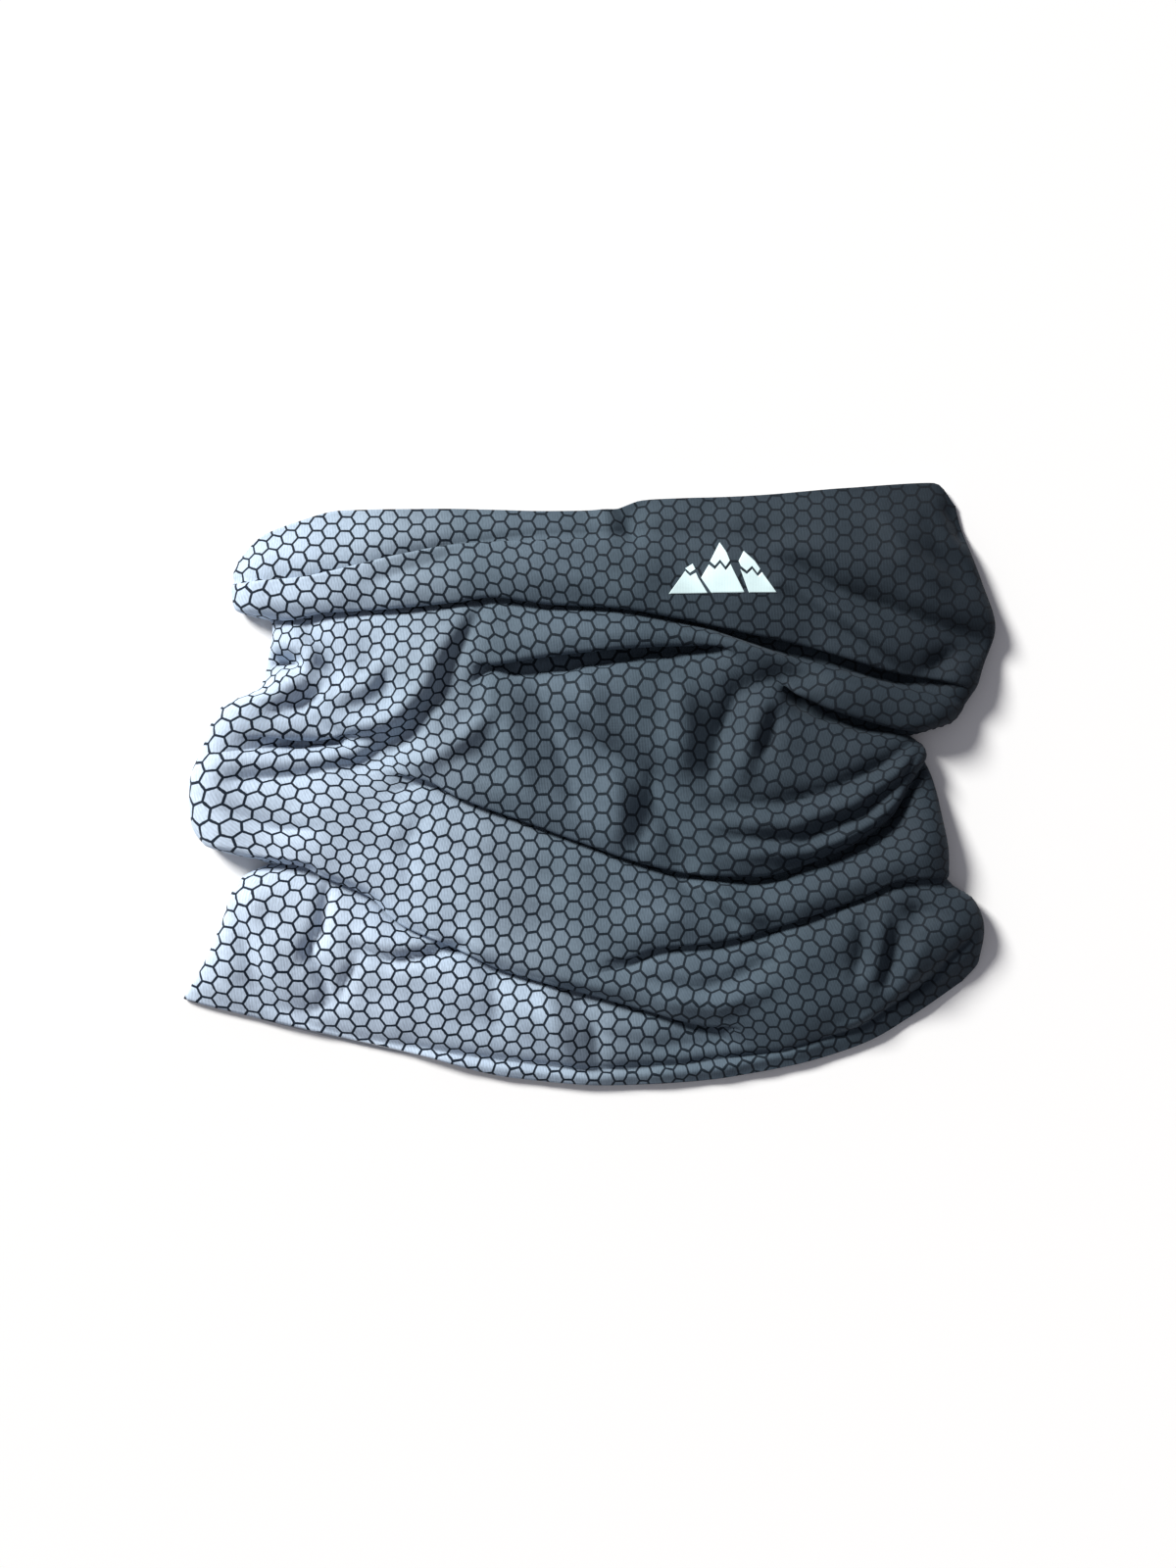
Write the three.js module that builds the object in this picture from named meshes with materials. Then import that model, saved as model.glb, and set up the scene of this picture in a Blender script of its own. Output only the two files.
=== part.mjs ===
// Neck gaiter: a printed knit tube, open at both ends, laid flat and gathered into four soft bands.
// Millimetres, +Z up, +X across the tube, +Y towards its top opening.
// The tube rests on its back layer at Z = 0, and the origin is the middle of the rectangle it covers.
import * as THREE from 'three';
import { ParametricGeometry } from 'three/addons/geometries/ParametricGeometry.js';
import { TessellateModifier } from 'three/addons/modifiers/TessellateModifier.js';

// Driving dimensions of the laid tube
const laidWidth = 247; // widest band, side fold to side fold
const laidLength = 186; // top opening to bottom opening, as gathered
const clothWall = 1.2; // two thicknesses of 0.6 mm cloth, because the gathers double it
const openingHeight = 6.4; // clear height inside the tube at its two ends and in every valley
const bandHeights = [5.5, 7.5, 9, 5]; // crest of each band above the valleys, top band first
const steepestBand = 0.19; // crest height of a narrow band, as a share of its length down the tube
const topEdgeBow = 9; // how far the top opening's edge rises towards the right
const bottomEdgeBow = 24; // how far the bottom opening's edge sags in the middle
const stitchGap = 0.3; // air between a sewn or pressed-on piece and the cloth

// Flatlock seam along the right side fold
const seamWidth = 5;
const seamThreadThickness = 0.5;
const seamEndMargin = 3; // bare cloth between each end of the seam and the tube's edge

// Care label sewn into the seam, lying inside the tube
const labelWidth = 22;
const labelLength = 32;
const labelThickness = 0.5;
const labelFromTop = 24; // top edge of the cloth to the label's near edge
const labelFootGap = 1.5; // between the label's sewn edge and the foot of the side fold

// Heat-pressed emblem on the top band: three mountain peaks
const emblemWidth = 33;
const emblemHeight = 15.5;
const emblemThickness = 0.4;
const emblemFromTop = 22; // tube's top edge to the emblem's centre line
const emblemAcross = 0.667; // emblem's centre, as a share of the tube's width from its left side
const emblemGroove = 1; // bare cloth between neighbouring peaks
const filmGap = 0.5; // air under the film, which spans the facets of the cloth
const filmStep = 4; // longest facet of the film

const valleyHeight = openingHeight + 2 * clothWall;
const foldRadius = valleyHeight / 2; // outer radius of the rounded side folds

const cloth = new THREE.MeshStandardMaterial({ color: 0x7d8d9b, roughness: 0.85, metalness: 0 });
const thread = new THREE.MeshStandardMaterial({ color: 0x2a333c, roughness: 0.8, metalness: 0 });
const wovenLabel = new THREE.MeshStandardMaterial({ color: 0xe9ebec, roughness: 0.7, metalness: 0 });
const pressedFilm = new THREE.MeshStandardMaterial({ color: 0xd9f2f3, roughness: 0.45, metalness: 0 });

// Smooth curve through [station, offset] pairs, read as offset(station)
function edgeCurve(pairs) {
  const curve = new THREE.SplineCurve(pairs.map(([station, offset]) => new THREE.Vector2(offset, station)));
  const samples = curve.getPoints(240);
  return (station) => {
    const k = Math.max(1, samples.findIndex((p) => p.y >= station));
    const [a, b] = [samples[k - 1], samples[k]];
    return THREE.MathUtils.mapLinear(THREE.MathUtils.clamp(station, a.y, b.y), a.y, b.y, a.x, b.x);
  };
}

// How far each side fold stands in from the full half width, down the tube from its top (0) to its bottom (1)
const leftInset = edgeCurve([
  [0, 26], [0.06, 19], [0.14, 13.5], [0.22, 15], [0.28, 23], [0.34, 21], [0.42, 7], [0.5, 1.2],
  [0.56, 2], [0.62, 9], [0.67, 21], [0.74, 15], [0.84, 9], [0.93, 3], [1, 0],
]);
const rightInset = edgeCurve([
  [0, 15], [0.1, 9], [0.19, 1.5], [0.25, 0], [0.33, 4.5], [0.4, 13], [0.45, 22], [0.5, 17.5],
  [0.6, 15], [0.68, 10], [0.76, 2.5], [0.83, 3], [0.9, 9], [1, 17],
]);

function sideFold(side, station) {
  const inset = side < 0 ? leftInset(station) : rightInset(station);
  return side * (laidWidth / 2 - (inset * laidWidth) / 247);
}

// Plan position of a share across the tube (0 left, 1 right) and a station down it (0 top, 1 bottom)
function planPoint(across, station, inset = 0) {
  const x = THREE.MathUtils.lerp(sideFold(-1, station) + inset, sideFold(1, station) - inset, across);
  const topRise = topEdgeBow * (across * across - 0.5);
  const bottomSag = bottomEdgeBow * (Math.sin(Math.PI * (0.1 + 0.85 * across)) - 0.75);
  const y = THREE.MathUtils.lerp(laidLength / 2 - 5 + topRise, -laidLength / 2 + 6 - bottomSag, station);
  return [x, y];
}

// Stations of the fold lines between the four bands, at a share across the tube
function foldStations(across) {
  return [
    0,
    0.2 + 0.12 * across * across,
    0.46 + 0.24 * Math.sin(Math.PI * across ** 1.3) - 0.04 * across,
    0.66 + 0.26 * across,
    1.02,
  ];
}

// Height of the front layer's outer face: each band swells and then drops at its fold line
function frontHeight(across, station) {
  const folds = foldStations(across);
  const band = Math.min(3, folds.findLastIndex((fold) => station >= fold));
  const bandShare = folds[band + 1] - folds[band];
  const crest = Math.min(bandHeights[band], steepestBand * bandShare * laidLength);
  const swell = Math.sin(Math.PI * Math.min(1, (station - folds[band]) / bandShare) ** 1.3) ** 1.2;
  const towardsSide = Math.sin(Math.PI * THREE.MathUtils.clamp(across, 0.001, 0.999)) ** 0.35;
  return valleyHeight + crest * swell * towardsSide;
}

// The ring round the tube has four parts, each cut into even steps
const ringSteps = { back: 24, rightFold: 8, front: 24, leftFold: 8 };
const ringStepCount = Object.values(ringSteps).reduce((sum, steps) => sum + steps);
const lengthSteps = 26;

// Part of the ring, and the share along it, where a step round the ring falls
function ringPlace(step) {
  let rest = step % ringStepCount;
  for (const [part, steps] of Object.entries(ringSteps)) {
    if (rest < steps) return [part, rest / steps];
    rest -= steps;
  }
}

// A point of the tube's skin at a share along a ring part and a station down the tube.
// depth is measured inwards from the outer face.
function skinPoint(part, share, station, depth, target) {
  const across = { back: share, rightFold: 1, front: 1 - share, leftFold: 0 }[part];
  const [x, y] = planPoint(across, station, foldRadius);
  if (part === 'back') return target.set(x, y, depth);
  if (part === 'front') return target.set(x, y, frontHeight(across, station) - depth);
  const side = part === 'rightFold' ? 1 : -1;
  const turn = Math.PI * (part === 'rightFold' ? share : 1 - share);
  const radius = foldRadius - depth;
  return target.set(x + side * radius * Math.sin(turn), y, foldRadius - radius * Math.cos(turn));
}

// The knit tube: its wall's section (outer face, end, inner face, end) swept round the ring
function gaiterTube() {
  const wallSteps = 2 * lengthSteps + 2;
  const surface = (around, section, target) => {
    const [part, share] = ringPlace(Math.round(around * ringStepCount));
    const step = Math.round(section * wallSteps) % wallSteps;
    const outer = step <= lengthSteps;
    const station = (outer ? step : wallSteps - 1 - step) / lengthSteps;
    skinPoint(part, share, station, outer ? 0 : clothWall, target);
  };
  return new ParametricGeometry(surface, ringStepCount, wallSteps);
}

// Lays a flat geometry on the skin: place(x, y) gives the ring part, the share along it and the station
// of each of its points, and its Z, above the lift, points away from the cloth
function layOnSkin(geometry, lift, place) {
  const position = geometry.getAttribute('position');
  const point = new THREE.Vector3();
  for (let i = 0; i < position.count; i++) {
    point.fromBufferAttribute(position, i);
    skinPoint(...place(point.x, point.y), -(lift + point.z), point);
    position.setXYZ(i, point.x, point.y, point.z);
  }
  return geometry;
}

// Outer or inner threads of the flatlock seam: a thin strip either side of the cloth at the right side fold
function seamThreads(face) {
  const endMargin = seamEndMargin / laidLength;
  const clear = seamThreadThickness / 2 + stitchGap;
  const lift = face === 'outer' ? clear : -(clothWall + clear);
  const box = new THREE.BoxGeometry(seamWidth, 1, seamThreadThickness, 4, lengthSteps, 1);
  return layOnSkin(box, lift, (x, y) => [
    'rightFold',
    0.5 - x / (foldRadius + lift) / Math.PI,
    THREE.MathUtils.clamp(0.5 - y, endMargin, 1 - endMargin),
  ]);
}

// Woven care label: lies on the inner face of the back layer, one edge at the foot of the seam's fold
function careLabel() {
  const shares = Array.from({ length: 9 }, (_, i) => i / 8);
  const stations = shares.map((share) => (labelFromTop + labelLength * share) / laidLength);
  const foot = Math.min(...stations.map((station) => sideFold(1, station))) - foldRadius - labelFootGap;
  const [, middle] = planPoint(1, stations[4]);
  const box = new THREE.BoxGeometry(labelWidth, labelLength, labelThickness);
  return box.translate(foot - labelWidth / 2, middle, clothWall + stitchGap + labelThickness / 2);
}

// One peak of the emblem: a film that follows the band it is pressed on
function peakFilm(outline) {
  const corners = outline.map(([x, y]) => new THREE.Vector2(x * emblemWidth, y * emblemHeight));
  const flat = new THREE.ExtrudeGeometry(new THREE.Shape(corners), { depth: emblemThickness, bevelEnabled: false });
  const fine = new TessellateModifier(filmStep, 12).modify(flat);
  return layOnSkin(fine, filmGap, (x, y) => {
    const station = (emblemFromTop - y) / laidLength;
    const span = sideFold(1, station) - sideFold(-1, station) - 2 * foldRadius;
    return ['front', 1 - emblemAcross - x / span, station];
  });
}

// Outlines in shares of the emblem's width and height, from its centre
const groove = emblemGroove / emblemWidth;
const peaks = {
  emblem_left_peak: [[-0.5, -0.5], [-0.1 - groove, -0.5], [-0.2 - groove / 2, -0.2], [-0.27, 0.05]],
  emblem_main_peak: [[-0.1, -0.5], [0.2, -0.5], [0.1, -0.05], [0.04, 0.3], [-0.02, 0.5], [-0.11, 0.18], [-0.2, -0.2]],
  emblem_right_peak: [[0.2 + groove, -0.5], [0.5, -0.5], [0.3, 0.12], [0.2, 0.3], [0.14 + groove, 0]],
};

const gaiter = new THREE.Group();
function addPiece(name, geometry, material) {
  const mesh = new THREE.Mesh(geometry, material);
  mesh.name = name;
  gaiter.add(mesh);
}

addPiece('gaiter_tube', gaiterTube(), cloth);
addPiece('seam_outer_thread', seamThreads('outer'), thread);
addPiece('seam_inner_thread', seamThreads('inner'), thread);
addPiece('care_label', careLabel(), wovenLabel);
for (const [name, outline] of Object.entries(peaks)) addPiece(name, peakFilm(outline), pressedFilm);

// The origin goes to the middle of the resting rectangle
const cover = new THREE.Box3().setFromObject(gaiter);
gaiter.position.set(-(cover.min.x + cover.max.x) / 2, -(cover.min.y + cover.max.y) / 2, 0);

export default gaiter;
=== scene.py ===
import math
import bmesh
import bpy
import numpy as np
from mathutils import Matrix, Vector, noise
from mathutils.bvhtree import BVHTree


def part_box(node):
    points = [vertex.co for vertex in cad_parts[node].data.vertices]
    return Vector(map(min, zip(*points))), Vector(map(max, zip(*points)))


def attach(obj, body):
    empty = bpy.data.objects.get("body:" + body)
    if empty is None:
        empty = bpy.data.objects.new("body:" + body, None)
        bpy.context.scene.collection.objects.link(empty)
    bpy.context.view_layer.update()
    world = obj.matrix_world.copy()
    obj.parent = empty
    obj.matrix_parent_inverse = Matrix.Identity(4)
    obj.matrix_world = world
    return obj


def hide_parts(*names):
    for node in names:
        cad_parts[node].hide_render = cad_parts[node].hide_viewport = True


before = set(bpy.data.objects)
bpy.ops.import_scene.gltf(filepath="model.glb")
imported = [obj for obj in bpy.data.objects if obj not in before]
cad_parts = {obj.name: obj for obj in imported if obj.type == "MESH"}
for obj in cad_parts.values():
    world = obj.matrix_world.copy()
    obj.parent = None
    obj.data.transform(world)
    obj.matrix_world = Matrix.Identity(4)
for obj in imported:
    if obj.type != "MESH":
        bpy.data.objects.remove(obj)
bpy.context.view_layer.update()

scene = bpy.context.scene
mm = 0.001  # lengths are written in millimetres, and become metres where a mesh is made
uvUnit = 100  # millimetres of cloth to one unit of its UV map

# The laid tube: +X to the right, +Y towards the top opening, +Z up
gaiter = {
    "ringLength": 490,      # once round the tube
    "laidWidth": 232,       # across the flattened tube, on average
    "clothThickness": 0.6,
    "notchReach": 55,       # how far from the sides the outlines' notches draw the cloth in
    "notchLength": 60,      # an outline is evened out over this length to take its notches away
    "layerInset": 0.8,      # how much further in a layer's sides lie for each mm that it is under the top one
    "looseHeight": 11.5,    # from the table to the middle of a gather
    "rimHeight": 1.9,       # the same at the two open ends
    "rimReach": 13,         # how far the rims' flatness reaches inwards
    "widestHeight": 0.42,   # where the side folds stand out furthest, as a share of the height
    "frontRound": 10,       # radius of the side folds' upper half
    "backRound": 3.5,
    "backPress": 0.33,      # thickness of the back's gathers, pressed by the front, as a share of the front's
    "seamLift": 0.4,        # how far the seam's threads hold the back off the table
    "seamReach": 20,        # how far from the seam that lift reaches
    "backTopBow": 5,        # how far the back's top edge bows up in the middle, and its bottom edge down
    "backBottomBow": 24,
    "backSway": 2.5,        # how far the gathers wander on the back
    "crown": 2.2,           # how far a panel droops before its gathered edge
    "crownReach": 8,
    "wrinkleDepth": 1.7,    # hollows are this many times as deep as written below
    "wrinkleHeight": 1.5,   # ridges are this many times as high as written below
    "rimWrinkles": 0.5,     # share of their height that wrinkles keep at the open ends
    "swells": [(1.6, 38, 3.0), (1.3, 19, 5.0)],  # height, size and seed of the loose cloth's unevenness
    "ripples": (1.1, 9, 7.0),                    # the same for slanting ripples
    "rippleSlant": 0.35,
    "rippleStretch": 0.22,  # their width as a share of their length
    "rimUnevenness": (0.6, 10, 8.0),             # and for what the rims have as well
    "riseReach": 13,        # how far below a gather the next panel has swollen to its full height
    "layerRound": 0.6,      # radius of the hidden turns inside a gather
    "turnRoom": 2,          # left between a hidden turn and the next gather
    "gapDepth": 2.0,        # how much deeper the panel starts for each mm of the gap above it
    "gapWall": 2.6,         # how far the panel takes to climb out of a gap
    "leastRoom": 1.2,       # between the back and the deepest hollow of the front
    "fadeOut": 5,           # half the length of cloth that a gather's rows cover where it isn't drawn in
    "rowCrowding": 0.5,     # 0 spaces a panel's rows evenly, 1 crowds them towards its gathers
    "evening": 0.6,         # how strongly the finished grid is evened out
    "farRows": 2.6,         # rows further apart than this are hardly evened out
    "frontColumns": 132,    # columns of points on the front, on the back and on each quarter of a side fold
    "backColumns": 44,
    "frontArcColumns": 9,
    "backArcColumns": 4,
}

# Side outlines as (y, x), from the bottom up
leftOutline = [(-66.5, -125), (-55.5, -118.5), (-42, -112.5), (-28.5, -108), (-24, -101.5), (-21, -111),
               (-18.5, -118), (-12, -122), (-1.5, -122.7), (12, -118.5), (24, -112.5), (29, -101.5),
               (33, -99.5), (43.5, -98), (50, -100.5), (54, -109), (63, -110), (69, -108), (85, -106)]
rightOutline = [(-61, 115.5), (-54, 121), (-45, 122), (-36, 120), (-29, 112.5), (-18, 110.5), (-3, 107.5),
                (7.5, 106), (15, 101.5), (19.5, 112.5), (30, 120), (36, 121.5), (48, 125.4), (61.5, 121.5),
                (78, 115.5), (85.5, 113.5)]
# Cut edges as (x, y), from left to right
topEdge = [(-108, 69), (-101, 76.5), (-90, 81), (-76.5, 84.5), (-45, 85), (-12, 84.3), (8, 84.8),
           (12, 86.2), (16.5, 87.7), (30, 88.3), (48, 88.9), (81, 91.5), (108, 93), (113.5, 86)]
bottomEdge = [(-125, -66.5), (-90, -75), (-51, -84), (-24, -90.5), (6, -93), (30, -92), (60, -87.5),
              (84, -80.5), (102, -70.5), (115.5, -61)]

# Gathers from the top down. points are (x, y, how far the fold is drawn in, 0 to 1), and onBack is the same
# for the middle of the back. depth is how far the cloth runs back under the fold, in runSteps rows, and round
# is the radius of its turns. crown scales the droop before the fold's edge. gaps are (x, width) of the dark
# opening under that edge. An under fold's edge faces up: the cloth above it runs under the cloth below it.
gathers = [
    {"name": "tuck", "under": True, "depth": 4, "round": 0.6, "runSteps": 1, "onBack": 0,
     "points": [(-110, 62, 0.5), (-90, 63, 1), (-60, 70, 0.9), (-39, 74, 0.8), (-12, 75.6, 0.5),
                (12, 75.8, 0.4), (30, 74.5, 0.4), (51, 73.5, 0.3), (70, 74, 0), (114, 72, 0)]},
    {"name": "upper", "crown": 0.7, "depth": 13, "round": 1.0, "runSteps": 2, "onBack": 0.9,
     "gaps": [(-116, 0.2), (-97, 0.8), (-60, 0.8), (-20, 0.8), (30, 1.2), (44, 2.6), (60, 3.4), (84, 3.0),
              (104, 1.2), (116, 0.4)],
     "points": [(-109, 51, 1), (-97, 50.4, 1), (-81, 52.5, 0.9), (-60, 54, 1), (-39, 56, 0.9),
                (-30, 57.3, 0.85), (-12, 55.2, 0.9), (6, 54.3, 0.9), (30, 50.5, 1), (48, 46.5, 1),
                (66, 42.6, 1), (84, 37.2, 1), (100, 32.4, 0.7), (121, 28, 0.3)]},
    {"name": "slit", "crown": 0.3, "depth": 6, "round": 1.2, "runSteps": 1, "onBack": 0.4,
     "gaps": [(-116, 0), (-90, 1.4), (-78, 1.0), (-66, 0), (-34, 0.8), (-26, 4.2), (-12, 4.9), (0, 4.1),
              (14, 2.9), (33, 1.5), (46, 0), (58, 1.2), (64, 3.0), (72, 3.4), (84, 2.4), (101, 1.6),
              (116, 0.3)],
     "points": [(-114, 14, 0.1), (-97, 13.5, 0.6), (-86, 13.4, 1), (-76, 14, 0.6), (-66, 17, 0),
                (-50, 28, 0), (-36, 35, 0.2), (-30, 36.2, 0.8), (-18, 38.4, 1), (0, 40.6, 1), (18, 42, 1),
                (34, 42.5, 0.9), (44, 40.5, 0.3), (52, 35, 0), (58, 30.5, 0.2), (64, 27.5, 0.9),
                (75, 22.8, 1), (90, 18.6, 1), (101, 16, 0.8), (112, 15.5, 0.6)]},
    {"name": "middle", "depth": 15, "round": 1.1, "runSteps": 2, "onBack": 0.8,
     "gaps": [(-116, 0), (-51, 0.6), (-30, 0.9), (0, 0.9), (36, 1.6), (60, 2.0), (84, 1.4), (104, 0.8),
              (116, 0.3)],
     "points": [(-122, -2, 0), (-80, 1, 0), (-63, 1.5, 0.2), (-51, 0.8, 0.7), (-39, -4.5, 0.9),
                (-18, -12, 0.9), (0, -18.6, 1), (18, -24.6, 1), (36, -28, 1), (51, -28.3, 1),
                (69, -24.2, 0.9), (84, -18.6, 0.7), (96, -10.5, 0.6), (102, 0, 0.5), (104, 8, 0.5)]},
    {"name": "lowerRight", "depth": 6, "round": 0.9, "runSteps": 1, "onBack": 0.1,
     "gaps": [(-116, 0), (10, 0.3), (60, 0.5), (116, 0.4)],
     "points": [(-118, -15, 0), (-67, -24, 0), (-40, -36, 0), (-16, -46, 0), (0, -54, 0.1),
                (10, -54.5, 0.5), (22, -50.5, 0.7), (36, -49.5, 0.7), (60, -43.5, 0.8), (81, -36, 0.9),
                (99, -30, 0.7), (112, -29.5, 0.5)]},
    {"name": "lower", "depth": 15, "round": 1.0, "runSteps": 2, "onBack": 0.9,
     "gaps": [(-116, 1.0), (-60, 0.6), (-20, 0.9), (20, 0.8), (116, 0.3)],
     "points": [(-104, -24, 1), (-90.5, -25.8, 1), (-79, -30, 0.8), (-67, -35, 0.8), (-59, -42, 0.9),
                (-46, -48.6, 0.7), (-37, -52, 0.9), (-29, -56, 1), (-16.5, -60, 1), (0, -64.5, 1),
                (18, -69.6, 0.9), (36, -74.7, 0.8), (46, -76, 0.3), (60, -74, 0), (90, -62, 0),
                (121, -50, 0.1)]},
]
panelRows = [12, 22, 18, 35, 28, 18, 29]  # rows of points on each panel between two gathers

# Wrinkles of the front as (height, half width, points); a hollow's height is negative
wrinkles = [
    (-2.4, 3.2, [(-110, 1), (-86, 3), (-70, 7), (-56, 16), (-46, 27), (-40, 41), (-33, 54)]),
    (2.4, 4.0, [(-75, 16), (-60, 20), (-50, 29), (-46, 40), (-38, 52)]),
    (1.8, 3.0, [(-30, 30), (-30, 22), (-38, 14), (-52, 6)]),
    (-3.0, 5.5, [(-17, 34), (-13, 22), (-7, 6), (-3, -8)]),
    (1.8, 4.0, [(-25, 28), (-24, 14), (-18, 0)]),
    (1.6, 4.0, [(-3, 34), (2, 22), (6, 14)]),
    (-3.2, 4.0, [(-4, 17), (6, 9), (16, 3), (20, 2)]),
    (-3.6, 5.5, [(20, 3), (23, -8), (27, -18), (34, -24)]),
    (-2.0, 3.5, [(20, 2), (18, -10), (14, -20)]),
    (1.8, 4.0, [(8, 4), (9, -6), (8, -16)]),
    (-3.0, 4.0, [(70, 33), (58, 33), (46, 28), (40, 15), (37, 1)]),
    (2.4, 4.5, [(28, 30), (29, 16), (28, 4)]),
    (2.2, 4.0, [(66, 27), (54, 24), (49, 12), (46, 2)]),
    (-1.8, 2.6, [(57, 24), (55, 14), (52, 8)]),
    (-2.2, 2.4, [(36, -7), (60, -6), (75, -1.5), (90, 6), (100, 13)]),
    (1.6, 2.2, [(38, -12), (62, -12), (80, -6), (94, 2), (101, 10)]),
    (-2.0, 2.0, [(39, -16.5), (66, -17), (84, -9), (96, 2), (102, 11)]),
    (1.6, 2.0, [(45, -21), (68, -21), (88, -12), (99, -1)]),
    (-1.8, 1.8, [(60, -25), (80, -20), (94, -10), (101, 2)]),
    (-2.2, 2.6, [(27, -30), (36, -37), (46, -43)]),
    (1.6, 2.6, [(33, -29), (42, -35), (52, -41)]),
    (-1.6, 3.0, [(0, -26), (10, -33), (24, -39)]),
    (-1.4, 4.0, [(-66, 62), (-54, 66), (-40, 71)]),
    (3.2, 3.0, [(6.5, 94), (5.5, 84), (6.5, 76)]),
    (-5.0, 3.0, [(14, 98), (12.5, 84), (13.5, 75)]),
    (-3.6, 3.4, [(61, 69), (76, 60), (92, 54), (108, 48), (122, 45)]),
    (2.0, 3.0, [(58, 62), (72, 54), (86, 46), (98, 36)]),
    (-2.6, 2.8, [(60, 60), (76, 49), (92, 38), (99, 33)]),
    (-2.2, 5.0, [(104, 84), (108, 72), (118, 60)]),
    (-3.0, 4.0, [(123, 42), (113, 41), (104, 35)]),
    (-4.0, 2.0, [(110, 85), (114, 80), (115, 74)]),
    (1.5, 3.0, [(90, 82), (98, 70), (110, 60)]),
    (-3.2, 2.4, [(-99, 31), (-97, 36), (-90, 38)]),
    (1.8, 2.6, [(-94, 30), (-88, 33), (-84, 40)]),
    (-2.4, 2.4, [(-87, 48), (-80, 40), (-76, 33)]),
    (-2.2, 2.2, [(-98, 22), (-88, 24), (-80, 30)]),
    (-2.6, 2.0, [(-94, 12), (-84, 12.4), (-76, 13)]),
    (-2.2, 1.6, [(-86, 21), (-79, 16.6), (-70, 14.2), (-63, 15)]),
    (-1.6, 3.0, [(-70, 44), (-62, 34), (-60, 24)]),
    (-2.8, 4.0, [(101, -37), (100, -43)]),
    (-2.2, 2.4, [(84, -42), (84, -52), (82, -60)]),
    (1.8, 2.2, [(90, -40), (89, -50), (87, -60)]),
    (-2.2, 2.2, [(95, -42), (93, -52), (91, -62)]),
    (1.6, 2.6, [(102, -48), (99, -58), (93, -66)]),
    (-1.6, 3.5, [(-29, -60), (-28, -68), (-28, -76)]),
    (-2.4, 2.4, [(-6, -66), (2, -74), (3, -86)]),
    (-2.0, 4.0, [(4, -77), (20, -81), (40, -80)]),
    (1.6, 3.2, [(-14, -64), (-10, -74), (-6, -84)]),
    (-2.0, 2.4, [(18, -60), (34, -63), (44, -60), (58, -53)]),
    (1.4, 2.4, [(24, -66), (40, -68), (56, -62)]),
    (-1.9, 2.0, [(-111, -38), (-106, -46), (-102, -60), (-94, -69), (-86, -71)]),
    (1.3, 3.0, [(-104, -34), (-100, -46), (-95, -58), (-89, -66)]),
    (-3.4, 2.2, [(-97, 38.5), (-91, 37.5), (-86, 35)]),
    (2.0, 2.6, [(-98, 44), (-90, 43), (-84, 39)]),
    (1.8, 2.4, [(-84, 30), (-76, 27), (-68, 30), (-62, 38)]),
    (-2.0, 5.0, [(-76, 2), (-62, 8), (-52, 16)]),
    (1.8, 2.2, [(-97, -42), (-90, -51), (-86, -58)]),
    (-2.8, 1.8, [(-80, -32), (-82, -46), (-86, -51), (-88, -55)]),
    (-2.6, 1.7, [(-86, -50), (-81, -59), (-80, -67), (-86, -70)]),
    (-2.2, 1.6, [(-70, -54), (-75, -61), (-77, -68)]),
    (-2.4, 1.5, [(-73, -50), (-61, -54), (-46, -52), (-38, -49)]),
    (1.6, 2.0, [(-70, -46), (-60, -50), (-46, -48)]),
    (-1.4, 3.5, [(-50, -8), (-56, -20), (-54, -32)]),
    (-1.4, 3.0, [(-110, -8), (-96, -14), (-84, -14)]),
    (1.6, 2.2, [(-118, -61), (-98, -71), (-70, -79), (-40, -86), (0, -90.5), (40, -88), (70, -80),
                (96, -67)]),
    (-3.0, 1.4, [(-108, -60), (-99, -68.5), (-90, -73), (-75, -77.5), (-60, -80.5), (-30, -85), (0, -88.5),
                 (30, -86.5), (60, -82.5), (84, -75), (102, -63), (117, -48)]),
]


def easeStep(t):
    t = np.clip(t, 0, 1)
    return t * t * (3 - 2 * t)


def blend(a, b, t):
    return a + (b - a) * t


# Length along a line of points, from its first one to each of them
def lengthAlong(line):
    return np.concatenate([[0], np.cumsum(np.linalg.norm(np.diff(line, axis=0), axis=1))])


# A smooth curve through given points that doesn't overshoot them
def curveThrough(xs, ys):
    xs, ys = np.array(xs, float), np.array(ys, float)
    step = np.diff(xs)
    slope = np.diff(ys) / step
    grade = np.zeros_like(xs)
    grade[0], grade[-1] = slope[0], slope[-1]
    product = slope[:-1] * slope[1:]
    grade[1:-1] = np.where(product > 0, 2 * product / np.where(product > 0, slope[:-1] + slope[1:], 1), 0)

    def at(x):
        x = np.clip(x, xs[0], xs[-1])
        k = np.clip(np.searchsorted(xs, x, side="right") - 1, 0, len(step) - 1)
        t, h = (x - xs[k]) / step[k], step[k]
        return (ys[k] * (1 + 2 * t) * (1 - t) ** 2 + grade[k] * h * t * (1 - t) ** 2
                + ys[k + 1] * t * t * (3 - 2 * t) + grade[k + 1] * h * t * t * (t - 1))
    return at


leftSide = curveThrough(*zip(*leftOutline))
rightSide = curveThrough(*zip(*rightOutline))


# An outline without its notches
def calmed(side, y):
    shifts = np.linspace(-0.5, 0.5, 11) * gaiter["notchLength"]
    return sum(side(y + shift) for shift in shifts) / len(shifts)


# Where a share across the laid cloth lies: the outlines' notches fade away towards the middle
def placeAcross(share, y, left, right, inset=0):
    reach = gaiter["notchReach"] / gaiter["laidWidth"]
    calmLeft, calmRight = calmed(leftSide, y), calmed(rightSide, y)
    nearLeft, nearRight = (np.clip(1 - s / reach, 0, 1) ** 2 for s in (share, 1 - share))
    x = blend(calmLeft + inset, calmRight - inset, share)
    return x + (left - calmLeft) * nearLeft + (right - calmRight) * nearRight


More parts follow.
